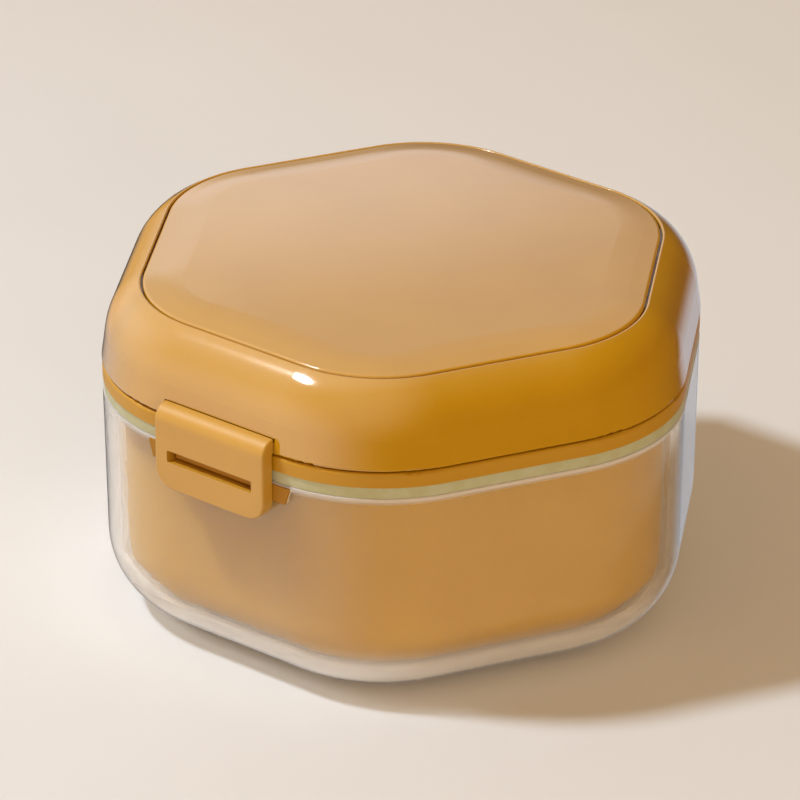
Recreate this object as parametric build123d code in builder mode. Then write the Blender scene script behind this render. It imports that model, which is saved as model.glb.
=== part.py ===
from build123d import *
import os
from math import cos, radians, sqrt, tan

os.makedirs("parts", exist_ok=True)

# Aligner case, in millimetres. It stands on z = 0. The latch is on the flat that faces -Y
# and the hinge on the flat that faces +Y. Every level outline is a rounded hexagon: the same
# small sharp hexagon, grown outwards, so that walls keep their thickness round the corners.
core_apothem = 17.9

# Clear outer shell
shell_height = 34.4
shell_apothem = 42.3
shell_draft = 0.85
shell_bottom_radius = 11.4
shell_wall = 2.0
shell_rim_round = 0.2

# Silicone seal ring between the shell's rim and the tub's flange
seal_height = 1.8
seal_setback = 0.15
seal_play = 0.1
seal_round = 0.15

# Opaque inner tub, hung in the shell by its flange
tub_gap = 1.0
tub_wall = 1.6
flange_height = 2.25
flange_apothem = 42.3
flange_round = 0.45
tub_mouth_round = 0.5

# Domed lid
lid_gap = 0.25
rim_apothem = 42.4
lid_wall_draft = 8.0
shoulder_radius = 9.8
lid_rise = 13.0
lid_wall = 2.2
lid_edge_round = 0.35
lip_apothem = 36.5
lip_round = 0.25
panel_recess = 2.0
lid_floor = 1.6

# Panel set into the lid's top
panel_gap = 0.25
panel_drop = 0.05
panel_slope = 10.0
panel_slope_rise = 0.8
panel_crown = 0.5
panel_blend = 25.0
panel_round = 0.5
panel_rim_width = 2.6
panel_hollow = 0.9
peg_radius = 1.5
peg_ring_radius = 31.0
peg_play = 0.05
peg_count = 6

# Skirt under the lid that plugs the tub's mouth, with its gasket
skirt_play = 0.9
skirt_wall = 1.2
skirt_entry = 1.9
gasket_height = 1.0
gasket_seat_depth = 0.5
gasket_level = 0.6
gasket_play = 0.25
gasket_round = 0.25

# Latch flap on the front flat
latch_width = 19.8
latch_thickness = 2.0
latch_play = 0.2
latch_drop = 10.3
latch_corner_radius = 3.2
latch_roll_radius = 2.2
latch_roll_flat = 0.2
latch_rise = 2.3
latch_edge_round = 0.35
slot_width = 15.4
slot_height = 1.85
slot_drop = 0.7
slot_round = 0.2
latch_knuckle_radius = 0.9
latch_pivot_setback = 1.95
latch_pivot_drop = 1.3
latch_pin_radius = 0.45
latch_pin_play = 0.05
latch_pin_chamfer = 0.09
latch_pin_wall = 0.9
latch_pocket_play = 0.1
latch_lug_width = 1.6
latch_lug_inset = 2.0
latch_lug_drop = 0.25
latch_lug_height = 0.7
latch_side_play = 0.15

# Keeper plate on the shell, with the rib that the latch's slot snaps over
keeper_top_width = 25.6
keeper_bottom_width = 24.0
keeper_height = 2.6
keeper_drop = 0.35
keeper_proud = 0.2
rib_bite = 0.75
rib_height = 1.0
rib_round = 0.25
rib_lift = 0.2
rib_end_play = 0.5

# Hinge on the back flat
hinge_width = 19.8
hinge_pin_radius = 1.0
hinge_pin_play = 0.05
hinge_pin_chamfer = 0.2
knuckle_radius = 2.3
knuckle_air = 0.4
knuckle_side_play = 0.2
lid_knuckle_width = 11.2
hinge_rise = 3.1
lid_arm_thickness = 2.2
bracket_plate_height = 6.5
bracket_plate_thickness = 1.6
bracket_corner_radius = 3.0

# Seats in the shell's wall for the keeper and the bracket, and the moulded pegs that hold them there
seat_depth = 1.0
rivet_radius = 1.2
rivet_spacing = 10.0
rivet_play = 0.05
seat_play = 0.03


def rounded_hexagon(apothem, height):
    with BuildSketch(Plane.XY.offset(height)) as outline:
        RegularPolygon(apothem, 6, major_radius=False)
        fillet(outline.vertices(), apothem - core_apothem)
    return outline.sketch


def hexagon_ring(outer_apothem, inner_apothem, height):
    with BuildSketch(Plane.XY.offset(height)) as ring:
        add(rounded_hexagon(outer_apothem, 0))
        add(rounded_hexagon(inner_apothem, 0), mode=Mode.SUBTRACT)
    return ring.sketch


def side_plane(x):
    """The plane across the case at x: its own x runs along +Y and its own y along +Z."""
    return Plane(origin=(x, 0, 0), x_dir=(0, 1, 0), z_dir=(1, 0, 0))


def front_plane(y):
    """The upright plane at y: its own x runs along +X and its own y along +Z."""
    return Plane(origin=(0, y, 0), x_dir=(1, 0, 0), z_dir=(0, -1, 0))


# Levels, from the table up
shell_slope = tan(radians(shell_draft))
shell_foot_apothem = shell_apothem - shell_height * shell_slope
seal_top = shell_height + seal_height
flange_top = seal_top + flange_height
lid_bottom = flange_top + lid_gap
lid_crest = lid_bottom + lid_rise
shoulder_level = lid_crest - shoulder_radius
wall_turn = radians(lid_wall_draft)
shoulder_apothem = (rim_apothem - (shoulder_level - lid_bottom) * tan(wall_turn)
                    - shoulder_radius / cos(wall_turn))
lip_level = shoulder_level + sqrt(shoulder_radius ** 2 - (lip_apothem - shoulder_apothem) ** 2)
recess_level = lip_level - panel_recess
floor_level = recess_level - lid_floor

# Tub sizes that follow the shell
tub_bottom = shell_wall + tub_gap
tub_foot_apothem = shell_foot_apothem - shell_wall - tub_gap + tub_bottom * shell_slope
tub_bottom_radius = shell_bottom_radius - shell_wall - tub_gap
tub_outer_apothem = tub_foot_apothem + (seal_top - tub_bottom) * shell_slope
tub_inner_apothem = tub_outer_apothem - tub_wall

# Places on the front
latch_back = -(rim_apothem + latch_play)
latch_front = latch_back - latch_thickness
latch_top = lid_bottom + latch_rise
latch_bottom = lid_bottom - latch_drop
latch_pivot_y = latch_front + latch_pivot_setback
latch_pivot_z = latch_top - latch_pivot_drop
roll_end_y = latch_front + latch_roll_radius + latch_roll_flat
latch_pocket_radius = sqrt((roll_end_y - latch_pivot_y) ** 2 + latch_pivot_drop ** 2) + latch_pocket_play
lug_starts = (-latch_width / 2 + latch_lug_inset, latch_width / 2 - latch_lug_inset - latch_lug_width)
keeper_top = shell_height - keeper_drop
slot_level = shell_height - slot_drop
keeper_bottom = keeper_top - keeper_height
wall_face = shell_apothem - keeper_drop * shell_slope
keeper_back = -(wall_face - seat_depth)
keeper_front = -(wall_face + keeper_proud)
rib_bottom = slot_level - slot_height / 2 + rib_lift
rivet_level = keeper_bottom + keeper_height / 2

# Places on the back
hinge_y = rim_apothem + knuckle_air + knuckle_radius
hinge_level = shell_height + hinge_rise
bracket_top = shell_height - keeper_drop
bracket_bottom = bracket_top - bracket_plate_height
bracket_back = wall_face - seat_depth
bracket_front = wall_face + bracket_plate_thickness
bracket_rivet_level = bracket_bottom + bracket_plate_height / 2
base_knuckle_inner = lid_knuckle_width / 2 + knuckle_side_play

# Clear outer shell: one drafted cup with a large rolled bottom edge
with BuildPart() as base_shell:
    extrude(rounded_hexagon(shell_foot_apothem, 0), amount=shell_height, taper=-shell_draft)
    fillet(base_shell.edges().group_by(Axis.Z)[0], shell_bottom_radius)
    offset(amount=-shell_wall, openings=base_shell.faces().sort_by(Axis.Z)[-1])
    outer_rim = base_shell.faces().sort_by(Axis.Z)[-1].outer_wire().edges()
    fillet(outer_rim, shell_rim_round)
    # Pocket for the keeper
    with BuildSketch(front_plane(keeper_back + seat_play)) as keeper_pocket:
        with BuildLine():
            Polyline(
                (-keeper_top_width / 2 - seat_play, keeper_top + seat_play),
                (keeper_top_width / 2 + seat_play, keeper_top + seat_play),
                (keeper_bottom_width / 2 + seat_play, keeper_bottom - seat_play),
                (-keeper_bottom_width / 2 - seat_play, keeper_bottom - seat_play),
                close=True,
            )
        make_face()
    extrude(amount=2 * seat_depth, mode=Mode.SUBTRACT)
    # Pocket for the hinge bracket
    with BuildSketch(front_plane(bracket_back - seat_play)) as bracket_pocket:
        with Locations((0, (bracket_top + bracket_bottom) / 2)):
            RectangleRounded(
                hinge_width + 2 * seat_play,
                bracket_plate_height + 2 * seat_play,
                bracket_corner_radius + seat_play,
            )
    extrude(amount=-2 * seat_depth, mode=Mode.SUBTRACT)
    # Holes for the pegs of both
    for level, turn in ((rivet_level, 1), (bracket_rivet_level, -1)):
        with BuildSketch(front_plane(0)) as peg_holes:
            with Locations((-rivet_spacing / 2, level), (rivet_spacing / 2, level)):
                Circle(rivet_radius + rivet_play)
        extrude(amount=turn * shell_apothem, mode=Mode.SUBTRACT)
base_shell.part.label = "base_shell"

# Silicone seal ring, squeezed between the shell's rim and the tub's flange
with BuildPart() as seal_ring:
    extrude(
        hexagon_ring(shell_apothem - seal_setback, tub_outer_apothem + seal_play, shell_height),
        amount=seal_height,
    )
    seal_faces = seal_ring.faces().sort_by(Axis.Z)
    fillet(
        [seal_faces[0].outer_wire().edges(), seal_faces[-1].outer_wire().edges()],
        seal_round,
    )
seal_ring.part.label = "seal_ring"

# Inner tub with the flange that shows as a band under the lid
with BuildPart() as inner_tub:
    extrude(
        rounded_hexagon(tub_foot_apothem, tub_bottom),
        amount=flange_top - tub_bottom,
        taper=-shell_draft,
    )
    fillet(inner_tub.edges().group_by(Axis.Z)[0], tub_bottom_radius)
    offset(amount=-tub_wall, openings=inner_tub.faces().sort_by(Axis.Z)[-1])
    extrude(hexagon_ring(flange_apothem, tub_outer_apothem - tub_wall / 2, seal_top), amount=flange_height)
    flange_face = inner_tub.faces().sort_by(Axis.Z)[-1]
    fillet(flange_face.outer_wire().edges(), flange_round)
    flange_face = inner_tub.faces().sort_by(Axis.Z)[-1]
    fillet(flange_face.inner_wires()[0].edges(), tub_mouth_round)
inner_tub.part.label = "inner_tub"

# Keeper plate with its rib and pegs
with BuildPart() as keeper:
    with BuildSketch(front_plane(keeper_back)) as keeper_face:
        with BuildLine():
            Polyline(
                (-keeper_top_width / 2, keeper_top),
                (keeper_top_width / 2, keeper_top),
                (keeper_bottom_width / 2, keeper_bottom),
                (-keeper_bottom_width / 2, keeper_bottom),
                close=True,
            )
        make_face()
    extrude(amount=keeper_back - keeper_front)
    with BuildSketch(front_plane(keeper_front)) as rib_face:
        with Locations((0, rib_bottom + rib_height / 2)):
            Rectangle(slot_width - 2 * rib_end_play, rib_height)
    extrude(amount=keeper_front - latch_back + rib_bite)
    fillet(keeper.faces().sort_by(Axis.Y)[0].edges(), rib_round)
    with BuildSketch(front_plane(keeper_back)) as keeper_pegs:
        with Locations((-rivet_spacing / 2, rivet_level), (rivet_spacing / 2, rivet_level)):
            Circle(rivet_radius)
    extrude(amount=-(shell_wall - seat_depth))
keeper.part.label = "keeper"

# Hinge bracket: a plate in the shell's back wall with two arms and their knuckles
with BuildPart() as hinge_bracket:
    with BuildSketch(front_plane(bracket_back)) as bracket_plate:
        with Locations((0, (bracket_top + bracket_bottom) / 2)):
            RectangleRounded(hinge_width, bracket_plate_height, bracket_corner_radius)
    extrude(amount=-(bracket_front - bracket_back))
    arm_width = hinge_width / 2 - base_knuckle_inner
    for arm_start in (-hinge_width / 2, base_knuckle_inner):
        with BuildSketch(side_plane(arm_start)) as arm:
            with BuildLine():
                Polyline(
                    (rim_apothem + knuckle_air, hinge_level),
                    (rim_apothem + knuckle_air, bracket_top - bracket_corner_radius),
                    (bracket_front, bracket_top - bracket_corner_radius),
                    (hinge_y + knuckle_radius, hinge_level),
                    close=True,
                )
            make_face()
            with Locations((hinge_y, hinge_level)):
                Circle(knuckle_radius)
                Circle(hinge_pin_radius, mode=Mode.SUBTRACT)
        extrude(amount=arm_width)
    with BuildSketch(front_plane(bracket_back)) as bracket_pegs:
        with Locations((-rivet_spacing / 2, bracket_rivet_level), (rivet_spacing / 2, bracket_rivet_level)):
            Circle(rivet_radius)
    extrude(amount=shell_wall - seat_depth)
hinge_bracket.part.label = "hinge_bracket"

# Hinge pin
with BuildPart() as hinge_pin:
    with BuildSketch(side_plane(-hinge_width / 2)) as pin_end:
        with Locations((hinge_y, hinge_level)):
            Circle(hinge_pin_radius)
    extrude(amount=hinge_width)
    chamfer(hinge_pin.edges(), hinge_pin_chamfer)
hinge_pin.part.label = "hinge_pin"

# Domed lid: drafted wall, wide rolled shoulder, recess for the panel, plug skirt below
gasket_bottom = flange_top - skirt_entry + gasket_level
skirt_face = tub_inner_apothem - skirt_play
with BuildPart() as lid_shell:
    extrude(rounded_hexagon(rim_apothem, lid_bottom), amount=lid_rise, taper=lid_wall_draft)
    fillet(lid_shell.edges().group_by(Axis.Z)[-1], shoulder_radius)
    offset(amount=-lid_wall, openings=lid_shell.faces().sort_by(Axis.Z)[0])
    fillet(lid_shell.faces().sort_by(Axis.Z)[0].outer_wire().edges(), lid_edge_round)
    extrude(rounded_hexagon(lip_apothem, floor_level), amount=lid_rise, mode=Mode.SUBTRACT)
    fillet(lid_shell.edges().group_by(Axis.Z)[-1], lip_round)
    floor_apothem = shoulder_apothem + sqrt(
        (shoulder_radius - lid_wall / 2) ** 2 - (recess_level - shoulder_level) ** 2
    )
    extrude(rounded_hexagon(floor_apothem, floor_level), amount=lid_floor)
    extrude(
        hexagon_ring(skirt_face, skirt_face - skirt_wall, flange_top - skirt_entry),
        amount=floor_level - flange_top + skirt_entry,
    )
    extrude(
        hexagon_ring(skirt_face + skirt_wall, skirt_face - gasket_seat_depth, gasket_bottom),
        amount=gasket_height,
        mode=Mode.SUBTRACT,
    )
    # Pocket in the wall for the latch's knuckle, and the two lugs that carry its pin
    with BuildSketch(side_plane(-latch_width / 2 - latch_side_play)) as latch_pocket:
        with Locations((latch_pivot_y, latch_pivot_z)):
            Circle(latch_pocket_radius)
    extrude(amount=latch_width + 2 * latch_side_play, mode=Mode.SUBTRACT)
    for lug_start in lug_starts:
        with BuildSketch(side_plane(lug_start)) as lug:
            with Locations((latch_pivot_y, latch_pivot_z)):
                Circle(latch_knuckle_radius)
            with Locations((latch_pivot_y, latch_pivot_z - latch_lug_drop)):
                Rectangle(lid_wall, latch_lug_height, align=(Align.MIN, Align.MAX))
            with Locations((latch_pivot_y, latch_pivot_z)):
                Circle(latch_pin_radius, mode=Mode.SUBTRACT)
        extrude(amount=latch_lug_width)
    # Hinge knuckle on the back, joined to the wall by an arm
    with BuildSketch(side_plane(-lid_knuckle_width / 2)) as lid_arm:
        with BuildLine():
            Polyline(
                (rim_apothem - lid_wall / 2, lid_bottom + lid_edge_round),
                (hinge_y, lid_bottom + lid_edge_round),
                (hinge_y, hinge_level + knuckle_radius),
                (rim_apothem - lid_wall / 2, lid_bottom + lid_edge_round + lid_arm_thickness),
                close=True,
            )
        make_face()
        with Locations((hinge_y, hinge_level)):
            Circle(knuckle_radius)
            Circle(hinge_pin_radius + hinge_pin_play, mode=Mode.SUBTRACT)
    extrude(amount=lid_knuckle_width)
    with BuildSketch(Plane.XY.offset(floor_level)) as peg_seats:
        with PolarLocations(peg_ring_radius, peg_count):
            Circle(peg_radius + peg_play)
    extrude(amount=lid_floor, mode=Mode.SUBTRACT)
lid_shell.part.label = "lid_shell"

# Panel in the lid's top: a shallow pillow on six pegs, with a sloping rim that blends into its crown
panel_apothem = lip_apothem - panel_gap
panel_edge_level = lip_level - panel_drop
slope_run = 1 / tan(radians(panel_slope))
crown_apothem = panel_apothem - panel_slope_rise * slope_run
crown_radius = (crown_apothem ** 2 + panel_crown ** 2) / (2 * panel_crown)
panel_rise = panel_slope_rise + panel_crown
with BuildPart() as top_panel:
    extrude(rounded_hexagon(panel_apothem, recess_level), amount=panel_edge_level - recess_level)
    loft(
        [
            rounded_hexagon(panel_apothem, panel_edge_level),
            rounded_hexagon(panel_apothem - panel_rise * slope_run, panel_edge_level + panel_rise),
        ],
        ruled=True,
    )
    with Locations((0, 0, panel_edge_level + panel_rise - crown_radius)):
        Sphere(crown_radius, mode=Mode.INTERSECT)
    crown_edges = top_panel.faces().sort_by(Axis.Z)[-1].edges()
    fillet(crown_edges, panel_blend)
    rim_edges = top_panel.edges().filter_by(lambda edge: abs(edge.center().Z - panel_edge_level) < seat_play)
    fillet(rim_edges, panel_round)
    extrude(
        rounded_hexagon(panel_apothem - panel_rim_width, recess_level),
        amount=panel_hollow,
        mode=Mode.SUBTRACT,
    )
    with BuildSketch(Plane.XY.offset(floor_level)) as pegs:
        with PolarLocations(peg_ring_radius, peg_count):
            Circle(peg_radius)
    extrude(amount=lid_floor + panel_hollow)
top_panel.part.label = "top_panel"

# Gasket round the plug skirt
with BuildPart() as lid_gasket:
    gasket_outer = tub_inner_apothem - gasket_play
    extrude(
        hexagon_ring(gasket_outer, skirt_face - gasket_seat_depth, gasket_bottom),
        amount=gasket_height,
    )
    gasket_faces = lid_gasket.faces().sort_by(Axis.Z)
    fillet(
        [gasket_faces[0].outer_wire().edges(), gasket_faces[-1].outer_wire().edges()],
        gasket_round,
    )
lid_gasket.part.label = "lid_gasket"

# Latch flap: a plate whose top rolls back to the knuckle, with a slot for the keeper's rib
with BuildPart() as latch:
    with BuildSketch(side_plane(-latch_width / 2)) as latch_side:
        roll_y = latch_front + latch_roll_radius
        roll_z = latch_top - latch_roll_radius
        with BuildLine():
            Line((latch_back, latch_bottom), (latch_front, latch_bottom))
            Line((latch_front, latch_bottom), (latch_front, roll_z))
            RadiusArc((latch_front, roll_z), (roll_y, latch_top), latch_roll_radius)
            Line((roll_y, latch_top), (roll_end_y, latch_top))
            Line((roll_end_y, latch_top), (latch_pivot_y, latch_pivot_z))
            Line((latch_pivot_y, latch_pivot_z), (latch_back, roll_z))
            Line((latch_back, roll_z), (latch_back, latch_bottom))
        make_face()
        with Locations((latch_pivot_y, latch_pivot_z)):
            Circle(latch_knuckle_radius)
    extrude(amount=latch_width)
    lower_corners = latch.edges().filter_by(Axis.Y).group_by(Axis.Z)[0]
    fillet(lower_corners, latch_corner_radius)
    front_face = latch.faces().filter_by(Axis.Y).sort_by(Axis.Y)[0]
    fillet(front_face.outer_wire().edges().sort_by(Axis.Z)[:-1], latch_edge_round)
    with BuildSketch(front_plane(latch_back)) as slot_face:
        with Locations((0, slot_level)):
            RectangleRounded(slot_width, slot_height, slot_round)
    extrude(amount=latch_thickness, mode=Mode.SUBTRACT)
    # Room under the roll for the lid's lugs, and the pin's bore, which is open at one end only
    for lug_start in lug_starts:
        with BuildSketch(side_plane(lug_start - latch_side_play)) as lug_room:
            with Locations((latch_pivot_y, latch_pivot_z)):
                Circle(latch_knuckle_radius + latch_side_play)
        extrude(amount=latch_lug_width + 2 * latch_side_play, mode=Mode.SUBTRACT)
    with BuildSketch(side_plane(-latch_width / 2)) as pin_bore:
        with Locations((latch_pivot_y, latch_pivot_z)):
            Circle(latch_pin_radius + latch_pin_play)
    extrude(amount=latch_width - latch_pin_wall + latch_pin_play, mode=Mode.SUBTRACT)
latch.part.label = "latch"

# Latch pin
with BuildPart() as latch_pin:
    with BuildSketch(side_plane(-latch_width / 2)) as latch_pin_end:
        with Locations((latch_pivot_y, latch_pivot_z)):
            Circle(latch_pin_radius)
    extrude(amount=latch_width - latch_pin_wall)
    chamfer(latch_pin.edges(), latch_pin_chamfer)
latch_pin.part.label = "latch_pin"

pieces = [
    base_shell,
    seal_ring,
    inner_tub,
    keeper,
    hinge_bracket,
    hinge_pin,
    lid_shell,
    top_panel,
    lid_gasket,
    latch,
    latch_pin,
]
for piece in pieces:
    export_step(piece.part, f"parts/{piece.part.label}.step")

print(f"lip at {lip_level:.2f} high, crown at {panel_edge_level + panel_rise:.2f} high")
print(f"hinge axis y {hinge_y:.2f} z {hinge_level:.2f}")
print(f"latch axis y {latch_pivot_y:.2f} z {latch_pivot_z:.2f}")
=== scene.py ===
import bmesh
import bpy
from math import cos, radians, sin
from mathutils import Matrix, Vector

# Aligner case: the CAD parts dressed in moulded plastic, silicone and steel, on a pale studio floor

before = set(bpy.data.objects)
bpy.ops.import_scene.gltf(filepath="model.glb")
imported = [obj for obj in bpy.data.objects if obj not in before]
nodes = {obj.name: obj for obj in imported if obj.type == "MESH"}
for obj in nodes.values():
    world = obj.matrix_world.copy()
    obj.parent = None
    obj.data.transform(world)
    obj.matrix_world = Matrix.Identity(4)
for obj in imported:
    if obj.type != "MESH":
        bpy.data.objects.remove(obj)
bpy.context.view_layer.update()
mm = 0.001
print("frame loaded:", len(nodes), "CAD nodes")


def hexColour(code):
    # sRGB hex to the linear colour that the shaders use
    parts = [int(code[i:i + 2], 16) / 255 for i in (0, 2, 4)]
    return [c / 12.92 if c <= 0.04045 else ((c + 0.055) / 1.055) ** 2.4 for c in parts] + [1.0]


def addNode(tree, kind, inputs=None, **settings):
    node = tree.nodes.new("ShaderNode" + kind)
    for name, value in settings.items():
        setattr(node, name, value)
    for name, value in (inputs or {}).items():
        if isinstance(value, bpy.types.NodeSocket):
            tree.links.new(value, node.inputs[name])
        else:
            node.inputs[name].default_value = value
    return node


def newMaterial(name):
    material = bpy.data.materials.new(name)
    material.use_nodes = True
    tree = material.node_tree
    tree.nodes.clear()
    return material, tree


def outward(azimuth, elevation):
    # Unit vector away from the case: azimuth 0 is the latch's side, and 90 is to the right of it
    a = radians(azimuth)
    e = radians(elevation)
    return Vector((sin(a) * cos(e), -cos(a) * cos(e), sin(e)))


# Shared by every moulded plastic: clouds of colour, hairlines that run one way, a mould's ripple
moulded = {
    "cloudDetail": 3.0,
    "cloudSpan": (0.35, 0.65),            # noise levels between which the tint changes
    "hairlineTurn": (0.3, 0.5, 0.7),      # radians, so that no hairline follows an edge
    "hairlineStretch": (1.0, 0.04, 0.25),
    "hairlineRoughness": 0.6,
    "hairlineSpan": (0.5, 0.75),          # only the peaks of the noise are worn
    "peelDetail": 1.0,
    "peelRoughness": 0.4,
}

# Polished moulded ABS: an even gloss, a faint cloudiness in the colour and the odd hairline
glossAbs = {
    "colour": "C89110",
    "cloudColour": "C48D0C",
    "cloudSize": 14.0,      # mm, slow drift of pigment in the melt
    "peelSize": 1.6,        # mm, the soft ripple that a polished mould leaves
    "peelDepth": 0.0015,    # mm
    "hairlineSize": 0.5,    # mm between hairlines, drawn coarser than real ones
    "roughness": 0.12,
    "wornRoughness": 0.18,
    "coat": 1.0,
    "coatRoughness": 0.03,
    "ior": 1.46,
}

# Satin moulded ABS of the latch and the hinge: the same amber with a fine spark-eroded grain
satinAbs = {
    "colour": "C79022",
    "cloudColour": "C38C1D",
    "cloudSize": 9.0,       # mm
    "peelSize": 0.45,       # mm, grain of the mould
    "peelDepth": 0.003,     # mm
    "hairlineSize": 0.6,    # mm
    "roughness": 0.5,
    "wornRoughness": 0.58,
    "coat": 1.0,
    "coatRoughness": 0.5,
    "ior": 1.5,
}

# ABS of the keeper, with less sheen and its amber painted deeper: painted shadow for the latch's
# shadow that falls on it
keeperAbsInPaintedShadow = {
    "colour": "B37B18",
    "cloudColour": "AE7714",
    "cloudSize": 9.0,       # mm
    "peelSize": 0.45,       # mm
    "peelDepth": 0.003,     # mm
    "hairlineSize": 0.6,    # mm
    "roughness": 0.55,
    "wornRoughness": 0.62,
    "ior": 1.4,
}

# Matt moulded polypropylene of the tub: waxy and even. Its body is painted a paler amber than its
# flange, a painted veil for the light the clear wall reflects over it
mattPp = {
    "colour": "C69D2E",
    "cloudColour": "C2992A",
    "cloudSize": 12.0,      # mm
    "veilFreeFlangeColour": "C48C0C",
    "edgeFrom": 35.6,       # mm above the foot, where the flange begins
    "edgeFull": 36.2,       # mm
    "peelSize": 0.8,        # mm
    "peelDepth": 0.0002,    # mm
    "hairlineSize": 0.8,    # mm
    "roughness": 0.42,
    "wornRoughness": 0.52,
    "ior": 1.49,
}


def makePlastic(name, look):
    material, tree = newMaterial(name)
    place = addNode(tree, "TexCoord")
    cloud = addNode(tree, "TexNoise", {
        "Vector": place.outputs["Object"],
        "Scale": 1 / (look["cloudSize"] * mm),
        "Detail": moulded["cloudDetail"],
    })
    tint = addNode(tree, "ValToRGB", {"Fac": cloud.outputs["Fac"]})
    tints = (look["cloudColour"], look["colour"])
    for stop, position, code in zip(tint.color_ramp.elements, moulded["cloudSpan"], tints):
        stop.position = position
        stop.color = hexColour(code)
    shade = tint.outputs["Color"]
    # From the flange up the amber deepens; the paler body below it is painted veil
    if "veilFreeFlangeColour" in look:
        height = addNode(tree, "SeparateXYZ", {"Vector": place.outputs["Object"]})
        veilFreeFlange = addNode(tree, "MapRange", {
            "Value": height.outputs["Z"],
            "From Min": look["edgeFrom"] * mm,
            "From Max": look["edgeFull"] * mm,
        })
        shade = addNode(tree, "MixRGB", {
            "Fac": veilFreeFlange.outputs["Result"],
            "Color1": shade,
            "Color2": hexColour(look["veilFreeFlangeColour"]),
        }).outputs["Color"]
    stretch = addNode(tree, "Mapping", {
        "Vector": place.outputs["Object"],
        "Rotation": moulded["hairlineTurn"],
        "Scale": moulded["hairlineStretch"],
    })
    hairline = addNode(tree, "TexNoise", {
        "Vector": stretch.outputs["Vector"],
        "Scale": 1 / (look["hairlineSize"] * mm),
        "Roughness": moulded["hairlineRoughness"],
    })
    worn = addNode(tree, "MapRange", {
        "Value": hairline.outputs["Fac"],
        "From Min": moulded["hairlineSpan"][0],
        "From Max": moulded["hairlineSpan"][1],
        "To Min": look["roughness"],
        "To Max": look["wornRoughness"],
    })
    peel = addNode(tree, "TexNoise", {
        "Vector": place.outputs["Object"],
        "Scale": 1 / (look["peelSize"] * mm),
        "Detail": moulded["peelDetail"],
        "Roughness": moulded["peelRoughness"],
    })
    ripple = addNode(tree, "Bump", {
        "Height": peel.outputs["Fac"],
        "Distance": look["peelDepth"] * mm,
    })
    shader = addNode(tree, "BsdfPrincipled", {
        "Base Color": shade,
        "Roughness": worn.outputs["Result"],
        "Normal": ripple.outputs["Normal"],
        "IOR": look["ior"],
    })
    if "coat" in look:
        shader.inputs["Coat Weight"].default_value = look["coat"]
        shader.inputs["Coat Roughness"].default_value = look["coatRoughness"]
    addNode(tree, "OutputMaterial", {"Surface": shader.outputs["BSDF"]})
    return material


# Clear moulded copolyester of the shell: nearly water-clear, a slight haze, faint flow ripple,
# and a cloudy bottom and rim, where the eye looks along the plastic instead of through it
clearShell = {
    "colour": "F9F1E6",
    "transmission": 0.96,
    "ior": 1.47,
    "roughness": 0.0,
    "hazedRoughness": 0.03,
    "hazeSize": 18.0,       # mm
    "hazeDetail": 4.0,
    "hazeRoughness": 0.6,
    "hazeSpan": (0.35, 0.7),
    "rippleSize": 7.0,      # mm, flow marks
    "rippleDepth": 0.0006,  # mm
    "rippleDetail": 1.0,
    "lightPassed": 0.84,    # share of a lamp's light that goes through square on
    "lightGrazing": 0.4,    # and at a grazing angle
    "grazingFrom": 0.5,
    "footTop": 10.0,        # mm, where the rolled foot starts and the wall thickens
    "footBottom": 4.0,      # mm, from here down it is at its cloudiest
    "footShade": 0.75,      # share of the passing light that the foot takes away
    "footHaze": 0.62,       # share of cloudy plastic in the foot and the rim
    "rimBottom": 33.4,      # mm, where the cut rim under the seal starts
    "rimTop": 34.0,         # mm
    "edgeClears": 0.75,     # seen edge on, the cloudiness gives way to a fine dark line
    "hazeColour": "FFFDFA",
    "hazeBehind": 0.4,      # share of the scattered light that comes from behind
}


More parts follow.
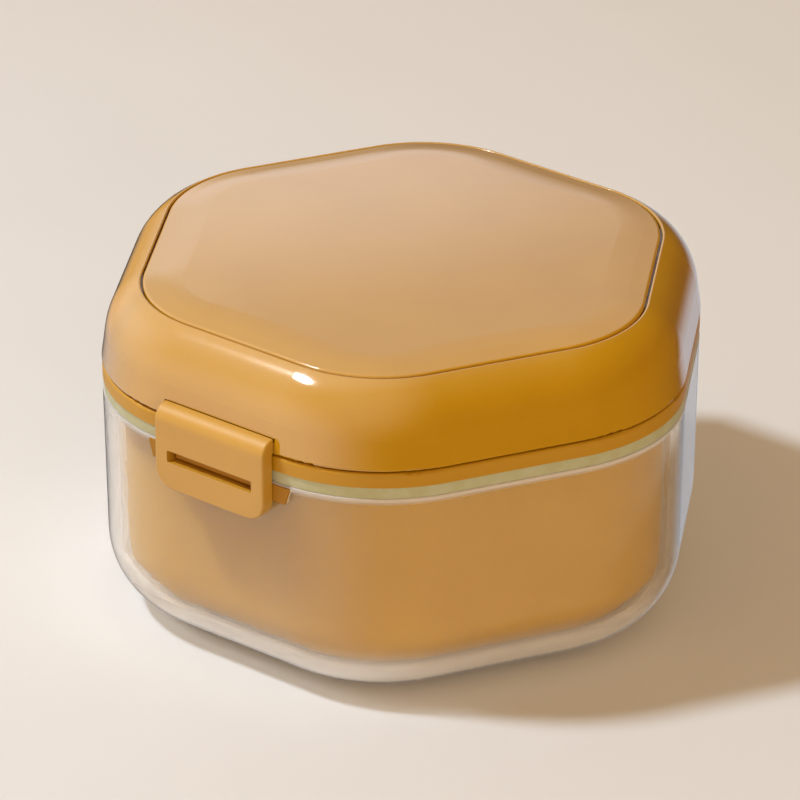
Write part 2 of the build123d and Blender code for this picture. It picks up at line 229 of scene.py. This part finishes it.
def makeClear(name, look):
    material, tree = newMaterial(name)
    place = addNode(tree, "TexCoord")
    haze = addNode(tree, "TexNoise", {
        "Vector": place.outputs["Object"],
        "Scale": 1 / (look["hazeSize"] * mm),
        "Detail": look["hazeDetail"],
        "Roughness": look["hazeRoughness"],
    })
    rough = addNode(tree, "MapRange", {
        "Value": haze.outputs["Fac"],
        "From Min": look["hazeSpan"][0],
        "From Max": look["hazeSpan"][1],
        "To Min": look["roughness"],
        "To Max": look["hazedRoughness"],
    })
    flow = addNode(tree, "TexNoise", {
        "Vector": place.outputs["Object"],
        "Scale": 1 / (look["rippleSize"] * mm),
        "Detail": look["rippleDetail"],
    })
    ripple = addNode(tree, "Bump", {
        "Height": flow.outputs["Fac"],
        "Distance": look["rippleDepth"] * mm,
    })
    shader = addNode(tree, "BsdfPrincipled", {
        "Base Color": hexColour(look["colour"]),
        "Roughness": rough.outputs["Result"],
        "Normal": ripple.outputs["Normal"],
        "IOR": look["ior"],
        "Transmission Weight": look["transmission"],
    })

    # The foot and the cut rim are cloudy, but not where they are seen edge on
    height = addNode(tree, "SeparateXYZ", {"Vector": place.outputs["Object"]})
    foot = addNode(tree, "MapRange", {
        "Value": height.outputs["Z"],
        "From Min": look["footTop"] * mm,
        "From Max": look["footBottom"] * mm,
    }, interpolation_type="SMOOTHSTEP")
    rim = addNode(tree, "MapRange", {
        "Value": height.outputs["Z"],
        "From Min": look["rimBottom"] * mm,
        "From Max": look["rimTop"] * mm,
    })
    thick = addNode(tree, "Math", {
        0: foot.outputs["Result"],
        1: rim.outputs["Result"],
    }, operation="MAXIMUM")
    graze = addNode(tree, "LayerWeight")
    clearEdge = addNode(tree, "MapRange", {
        "Value": graze.outputs["Facing"],
        "From Min": look["edgeClears"],
        "To Min": look["footHaze"],
        "To Max": 0.0,
    })
    cloudy = addNode(tree, "Math", {
        0: thick.outputs["Value"],
        1: clearEdge.outputs["Result"],
    }, operation="MULTIPLY")
    towardsEye = addNode(tree, "BsdfDiffuse", {"Color": hexColour(look["hazeColour"])})
    fromBehind = addNode(tree, "BsdfTranslucent", {"Color": hexColour(look["hazeColour"])})
    scattered = addNode(tree, "MixShader", {
        0: look["hazeBehind"],
        1: towardsEye.outputs["BSDF"],
        2: fromBehind.outputs["BSDF"],
    })
    hazed = addNode(tree, "MixShader", {
        0: cloudy.outputs["Value"],
        1: shader.outputs["BSDF"],
        2: scattered.outputs["Shader"],
    })

    # Lamps shine through the wall, most where they meet it square on
    path = addNode(tree, "LightPath")
    passed = addNode(tree, "MapRange", {
        "Value": graze.outputs["Facing"],
        "From Min": look["grazingFrom"],
        "To Min": look["lightPassed"],
        "To Max": look["lightGrazing"],
    })
    passing = addNode(tree, "Math", {
        0: path.outputs["Is Shadow Ray"],
        1: passed.outputs["Result"],
    }, operation="MULTIPLY")
    clearOfFoot = addNode(tree, "Math", {
        0: foot.outputs["Result"],
        1: -look["footShade"],
        2: 1.0,
    }, operation="MULTIPLY_ADD")
    letThrough = addNode(tree, "Math", {
        0: passing.outputs["Value"],
        1: clearOfFoot.outputs["Value"],
    }, operation="MULTIPLY")
    opening = addNode(tree, "BsdfTransparent")
    wall = addNode(tree, "MixShader", {
        0: letThrough.outputs["Value"],
        1: hazed.outputs["Shader"],
        2: opening.outputs["BSDF"],
    })
    addNode(tree, "OutputMaterial", {"Surface": wall.outputs["Shader"]})
    return material


# Moulded silicone of the seal and the gasket: matt pale sage, slightly mottled, a little dusty
sageSilicone = {
    "colour": "B9B182",
    "dustColour": "C2BD99",
    "dustSpan": (0.4, 0.75),    # noise levels where the dust starts and is full
    "mottleSize": 3.0,          # mm
    "mottleDetail": 4.0,
    "mottleRoughness": 0.65,
    "grainSize": 0.35,          # mm
    "grainDepth": 0.01,         # mm
    "roughness": 0.42,
    "ior": 1.43,
}


def makeSilicone(name, look):
    material, tree = newMaterial(name)
    place = addNode(tree, "TexCoord")
    mottle = addNode(tree, "TexNoise", {
        "Vector": place.outputs["Object"],
        "Scale": 1 / (look["mottleSize"] * mm),
        "Detail": look["mottleDetail"],
        "Roughness": look["mottleRoughness"],
    })
    tint = addNode(tree, "ValToRGB", {"Fac": mottle.outputs["Fac"]})
    tints = (look["colour"], look["dustColour"])
    for stop, position, code in zip(tint.color_ramp.elements, look["dustSpan"], tints):
        stop.position = position
        stop.color = hexColour(code)
    grain = addNode(tree, "TexNoise", {
        "Vector": place.outputs["Object"],
        "Scale": 1 / (look["grainSize"] * mm),
    })
    bump = addNode(tree, "Bump", {
        "Height": grain.outputs["Fac"],
        "Distance": look["grainDepth"] * mm,
    })
    shader = addNode(tree, "BsdfPrincipled", {
        "Base Color": tint.outputs["Color"],
        "Roughness": look["roughness"],
        "Normal": bump.outputs["Normal"],
        "IOR": look["ior"],
    })
    addNode(tree, "OutputMaterial", {"Surface": shader.outputs["BSDF"]})
    return material


# Drawn stainless wire of the two pins: bright grey with fine lines along its length
drawnSteel = {
    "colour": "B9B6B0",
    "lineStretch": (0.02, 1.0, 1.0),    # the pins lie along x
    "lineSize": 0.12,                   # mm between drawing lines
    "lineDepth": 0.004,                 # mm
    "roughness": 0.2,
    "lineRoughness": 0.4,
}


def makeSteel(name, look):
    material, tree = newMaterial(name)
    place = addNode(tree, "TexCoord")
    stretch = addNode(tree, "Mapping", {
        "Vector": place.outputs["Object"],
        "Scale": look["lineStretch"],
    })
    lines = addNode(tree, "TexNoise", {
        "Vector": stretch.outputs["Vector"],
        "Scale": 1 / (look["lineSize"] * mm),
    })
    bump = addNode(tree, "Bump", {
        "Height": lines.outputs["Fac"],
        "Distance": look["lineDepth"] * mm,
    })
    rough = addNode(tree, "MapRange", {
        "Value": lines.outputs["Fac"],
        "To Min": look["roughness"],
        "To Max": look["lineRoughness"],
    })
    shader = addNode(tree, "BsdfPrincipled", {
        "Base Color": hexColour(look["colour"]),
        "Metallic": 1.0,
        "Roughness": rough.outputs["Result"],
        "Normal": bump.outputs["Normal"],
    })
    addNode(tree, "OutputMaterial", {"Surface": shader.outputs["BSDF"]})
    return material


recipes = {
    "polishedMouldedAbs": (makePlastic, glossAbs),
    "satinMouldedAbs": (makePlastic, satinAbs),
    # The keeper's deeper amber is painted shadow of the latch
    "paintedShadowKeeperAbs": (makePlastic, keeperAbsInPaintedShadow),
    "mattMouldedPolypropylene": (makePlastic, mattPp),
    "clearMouldedCopolyester": (makeClear, clearShell),
    "sageMouldedSilicone": (makeSilicone, sageSilicone),
    "drawnStainlessWire": (makeSteel, drawnSteel),
}
materials = {name: make(name, look) for name, (make, look) in recipes.items()}
print("materials made:", len(materials))

# The material of each CAD node and the slot that it stands for
finishes = {
    "base_shell": ("clearMouldedCopolyester", "clear_shell"),
    "seal_ring": ("sageMouldedSilicone", "sage_silicone"),
    "inner_tub": ("mattMouldedPolypropylene", "tub_amber"),
    "keeper": ("paintedShadowKeeperAbs", "satin_amber"),
    "hinge_bracket": ("satinMouldedAbs", "satin_amber"),
    "hinge_pin": ("drawnStainlessWire", "pin_steel"),
    "lid_shell": ("polishedMouldedAbs", "gloss_amber"),
    "top_panel": ("polishedMouldedAbs", "gloss_amber"),
    "lid_gasket": ("sageMouldedSilicone", "sage_silicone"),
    "latch": ("satinMouldedAbs", "satin_amber"),
    "latch_pin": ("drawnStainlessWire", "pin_steel"),
}
for nodeName, (materialName, slotName) in finishes.items():
    piece = nodes[nodeName]
    piece.data.materials.clear()
    piece.data.materials.append(materials[materialName])
print("CAD nodes dressed:", len(finishes))


# Painted board of the studio floor: pale warm grey with a faint mottle
floorBoard = {
    "size": 6.0,            # m
    "squares": 8,
    "gap": 0.1,             # mm, a moulded base never lies dead flat
    "colour": "E5E1DD",
    "mottleColour": "E2DDD8",
    "mottleSize": 100 / 3,  # mm
    "mottleDetail": 3.0,
    "roughness": 0.6,
    "specular": 0.2,
}

bm = bmesh.new()
squares = floorBoard["squares"]
bmesh.ops.create_grid(bm, x_segments=squares, y_segments=squares, size=floorBoard["size"] / 2)
floorMesh = bpy.data.meshes.new("studioFloor")
bm.to_mesh(floorMesh)
bm.free()
floor = bpy.data.objects.new("studioFloor", floorMesh)
bpy.context.scene.collection.objects.link(floor)
floor.location.z = -floorBoard["gap"] * mm
floor.visible_glossy = False

floorMaterial, tree = newMaterial("paintedBoard")
place = addNode(tree, "TexCoord")
mottle = addNode(tree, "TexNoise", {
    "Vector": place.outputs["Object"],
    "Scale": 1 / (floorBoard["mottleSize"] * mm),
    "Detail": floorBoard["mottleDetail"],
})
tint = addNode(tree, "ValToRGB", {"Fac": mottle.outputs["Fac"]})
tint.color_ramp.elements[0].color = hexColour(floorBoard["mottleColour"])
tint.color_ramp.elements[1].color = hexColour(floorBoard["colour"])
shader = addNode(tree, "BsdfPrincipled", {
    "Base Color": tint.outputs["Color"],
    "Roughness": floorBoard["roughness"],
    "Specular IOR Level": floorBoard["specular"],
})
addNode(tree, "OutputMaterial", {"Surface": shader.outputs["BSDF"]})
floorMesh.materials.append(floorMaterial)
print("floor laid")

# The studio around the case, as matt surfaces, the eye and gloss each meet it
surround = {
    "glow": "FFD9A8",           # what it adds to matt surfaces, warmed by the board and the walls
    "glowStrength": 0.52,
    "glowInside": 0.5,          # more of it inside clear walls, where it goes to and fro
    "seen": "EEDCC8",           # what shows behind the case and through clear walls
    "seenStrength": 0.9,
    "mirrored": "E6EAF3",       # what gloss mirrors away from the lit places below, nearly dark
    "mirroredStrength": 0.03,
}

# Lit places that gloss mirrors: azimuth, elevation, the cosines where the place starts and is full,
# brightness and colour
litPlaces = {
    "window": (-112.0, 50.0, 0.5, 0.87, 0.8, "CADFF6"),
    "backdrop": (-138.0, 19.0, 0.983, 0.9995, 0.75, "E6EAF3"),
    "leftWall": (-118.0, 0.0, 0.9, 0.99, 0.75, "E8AC5C"),
    "floorBehind": (-160.0, -25.0, 0.92, 0.9995, 0.6, "E6EAF3"),
    "softbox": (-30.0, 38.0, 0.05, 0.9, 1.19, "ECE4DA"),
    "board": (-50.0, -30.0, 0.2, 0.85, 0.9, "E6EAF3"),
}

world = bpy.data.worlds.new("studioSurround")
world.use_nodes = True
bpy.context.scene.world = world
tree = world.node_tree
tree.nodes.clear()
path = addNode(tree, "LightPath")
inside = addNode(tree, "Math", {
    0: path.outputs["Is Transmission Ray"],
    1: surround["glowInside"],
    2: surround["glowStrength"],
}, operation="MULTIPLY_ADD")
glow = addNode(tree, "Background", {
    "Color": hexColour(surround["glow"]),
    "Strength": inside.outputs["Value"],
})
seen = addNode(tree, "Background", {
    "Color": hexColour(surround["seen"]),
    "Strength": surround["seenStrength"],
})
heading = addNode(tree, "TexCoord")
wallLight = [c * surround["mirroredStrength"] for c in hexColour(surround["mirrored"])[:3]]
for azimuth, elevation, startsAt, fullAt, brightness, colour in litPlaces.values():
    towards = addNode(tree, "VectorMath", {
        0: heading.outputs["Generated"],
        1: outward(azimuth, elevation),
    }, operation="DOT_PRODUCT")
    lobe = addNode(tree, "MapRange", {
        "Value": towards.outputs["Value"],
        "From Min": startsAt,
        "From Max": fullAt,
        "To Max": brightness,
    }, interpolation_type="SMOOTHSTEP")
    wallLight = addNode(tree, "VectorMath", {
        0: lobe.outputs["Result"],
        1: hexColour(colour)[:3],
        2: wallLight,
    }, operation="MULTIPLY_ADD").outputs["Vector"]
mirrored = addNode(tree, "Background", {"Color": wallLight})

# The eye meets the seen surround, also through clear walls, and matt surfaces get the glow
straight = addNode(tree, "Math", {
    0: path.outputs["Is Transmission Ray"],
    1: path.outputs["Is Camera Ray"],
}, operation="MAXIMUM")
shown = addNode(tree, "Math", {
    0: straight.outputs["Value"],
    1: path.outputs["Diffuse Depth"],
}, operation="SUBTRACT", use_clamp=True)
seenOrGlow = addNode(tree, "MixShader", {
    0: shown.outputs["Value"],
    1: glow.outputs["Background"],
    2: seen.outputs["Background"],
})
glancing = addNode(tree, "Math", {
    0: path.outputs["Is Glossy Ray"],
    1: path.outputs["Is Transmission Ray"],
}, operation="SUBTRACT", use_clamp=True)
studioLight = addNode(tree, "MixShader", {
    0: glancing.outputs["Value"],
    1: seenOrGlow.outputs["Shader"],
    2: mirrored.outputs["Background"],
})
addNode(tree, "OutputWorld", {"Surface": studioLight.outputs["Shader"]})
print("surround set, lit places:", len(litPlaces))

# A small key high on the left, a broad warm fill from the right, and the key as gloss mirrors it,
# for the one clean highlight on the lid
lamps = {
    "keyLamp": {
        "azimuth": -50.3,
        "elevation": 56.4,
        "distance": 0.626,          # m, as are size and aim
        "size": (0.075, 0.075),
        "power": 3.2,
        "colour": (0.74, 0.87, 1.0),
        "aim": (0, 0, 0.025),
        "missedBy": ["glossy"],     # kinds of ray that don't meet the lamp
    },
    "fillLamp": {
        "azimuth": 60.0,
        "elevation": 12.0,
        "distance": 1.2,
        "size": (0.8, 0.6),
        "power": 3.6,
        "colour": (1.0, 0.88, 0.7),
        "aim": (0, 0, 0.025),
        "missedBy": ["glossy"],
    },
    "highlightCard": {
        "azimuth": -55.4,
        "elevation": 54.8,
        "distance": 0.5,
        "size": (0.124, 0.074),
        "power": 1.0,
        "colour": (1.0, 1.0, 1.0),
        "aim": (0.0117, -0.0382, 0.0495),
        "missedBy": ["diffuse", "transmission"],
    },
}
for lampName, setup in lamps.items():
    lamp = bpy.data.lights.new(lampName, "AREA")
    lamp.shape = "ELLIPSE"
    lamp.size, lamp.size_y = setup["size"]
    lamp.energy = setup["power"]
    lamp.color = setup["colour"]
    holder = bpy.data.objects.new(lampName, lamp)
    away = outward(setup["azimuth"], setup["elevation"])
    holder.location = Vector(setup["aim"]) + away * setup["distance"]
    holder.rotation_euler = (-away).to_track_quat("-Z", "Y").to_euler()
    for ray in setup["missedBy"]:
        setattr(holder, "visible_" + ray, False)
    bpy.context.scene.collection.objects.link(holder)
print("lamps set:", len(lamps))

# Camera at the photo's viewing angle, from the fit of the seam lines and the outline
camera = {
    "azimuth": 38.02,
    "elevation": 27.238,
    "distance": 0.8555,     # m
    "lens": 265.9,          # mm
    "lipHeight": 0.05063,   # m, the lid's lip, which the fit started from
    "right": -0.000515,     # m, how far beside and above it the camera aims
    "up": -0.02104,
    "nearest": 0.05,        # m
    "farthest": 20,         # m
}
back = outward(camera["azimuth"], camera["elevation"])
rightward = outward(camera["azimuth"] + 90, 0)
upward = outward(camera["azimuth"] + 180, 90 - camera["elevation"])
aside = rightward * camera["right"] + upward * camera["up"]
cameraData = bpy.data.cameras.new("photoCamera")
cameraData.lens = camera["lens"]
cameraData.clip_start = camera["nearest"]
cameraData.clip_end = camera["farthest"]
photoCamera = bpy.data.objects.new("photoCamera", cameraData)
photoCamera.location = Vector((0, 0, camera["lipHeight"])) + aside + back * camera["distance"]
photoCamera.rotation_euler = (-back).to_track_quat("-Z", "Y").to_euler()
bpy.context.scene.collection.objects.link(photoCamera)
bpy.context.scene.camera = photoCamera
bpy.context.scene.view_settings.view_transform = "Standard"
print("camera set")
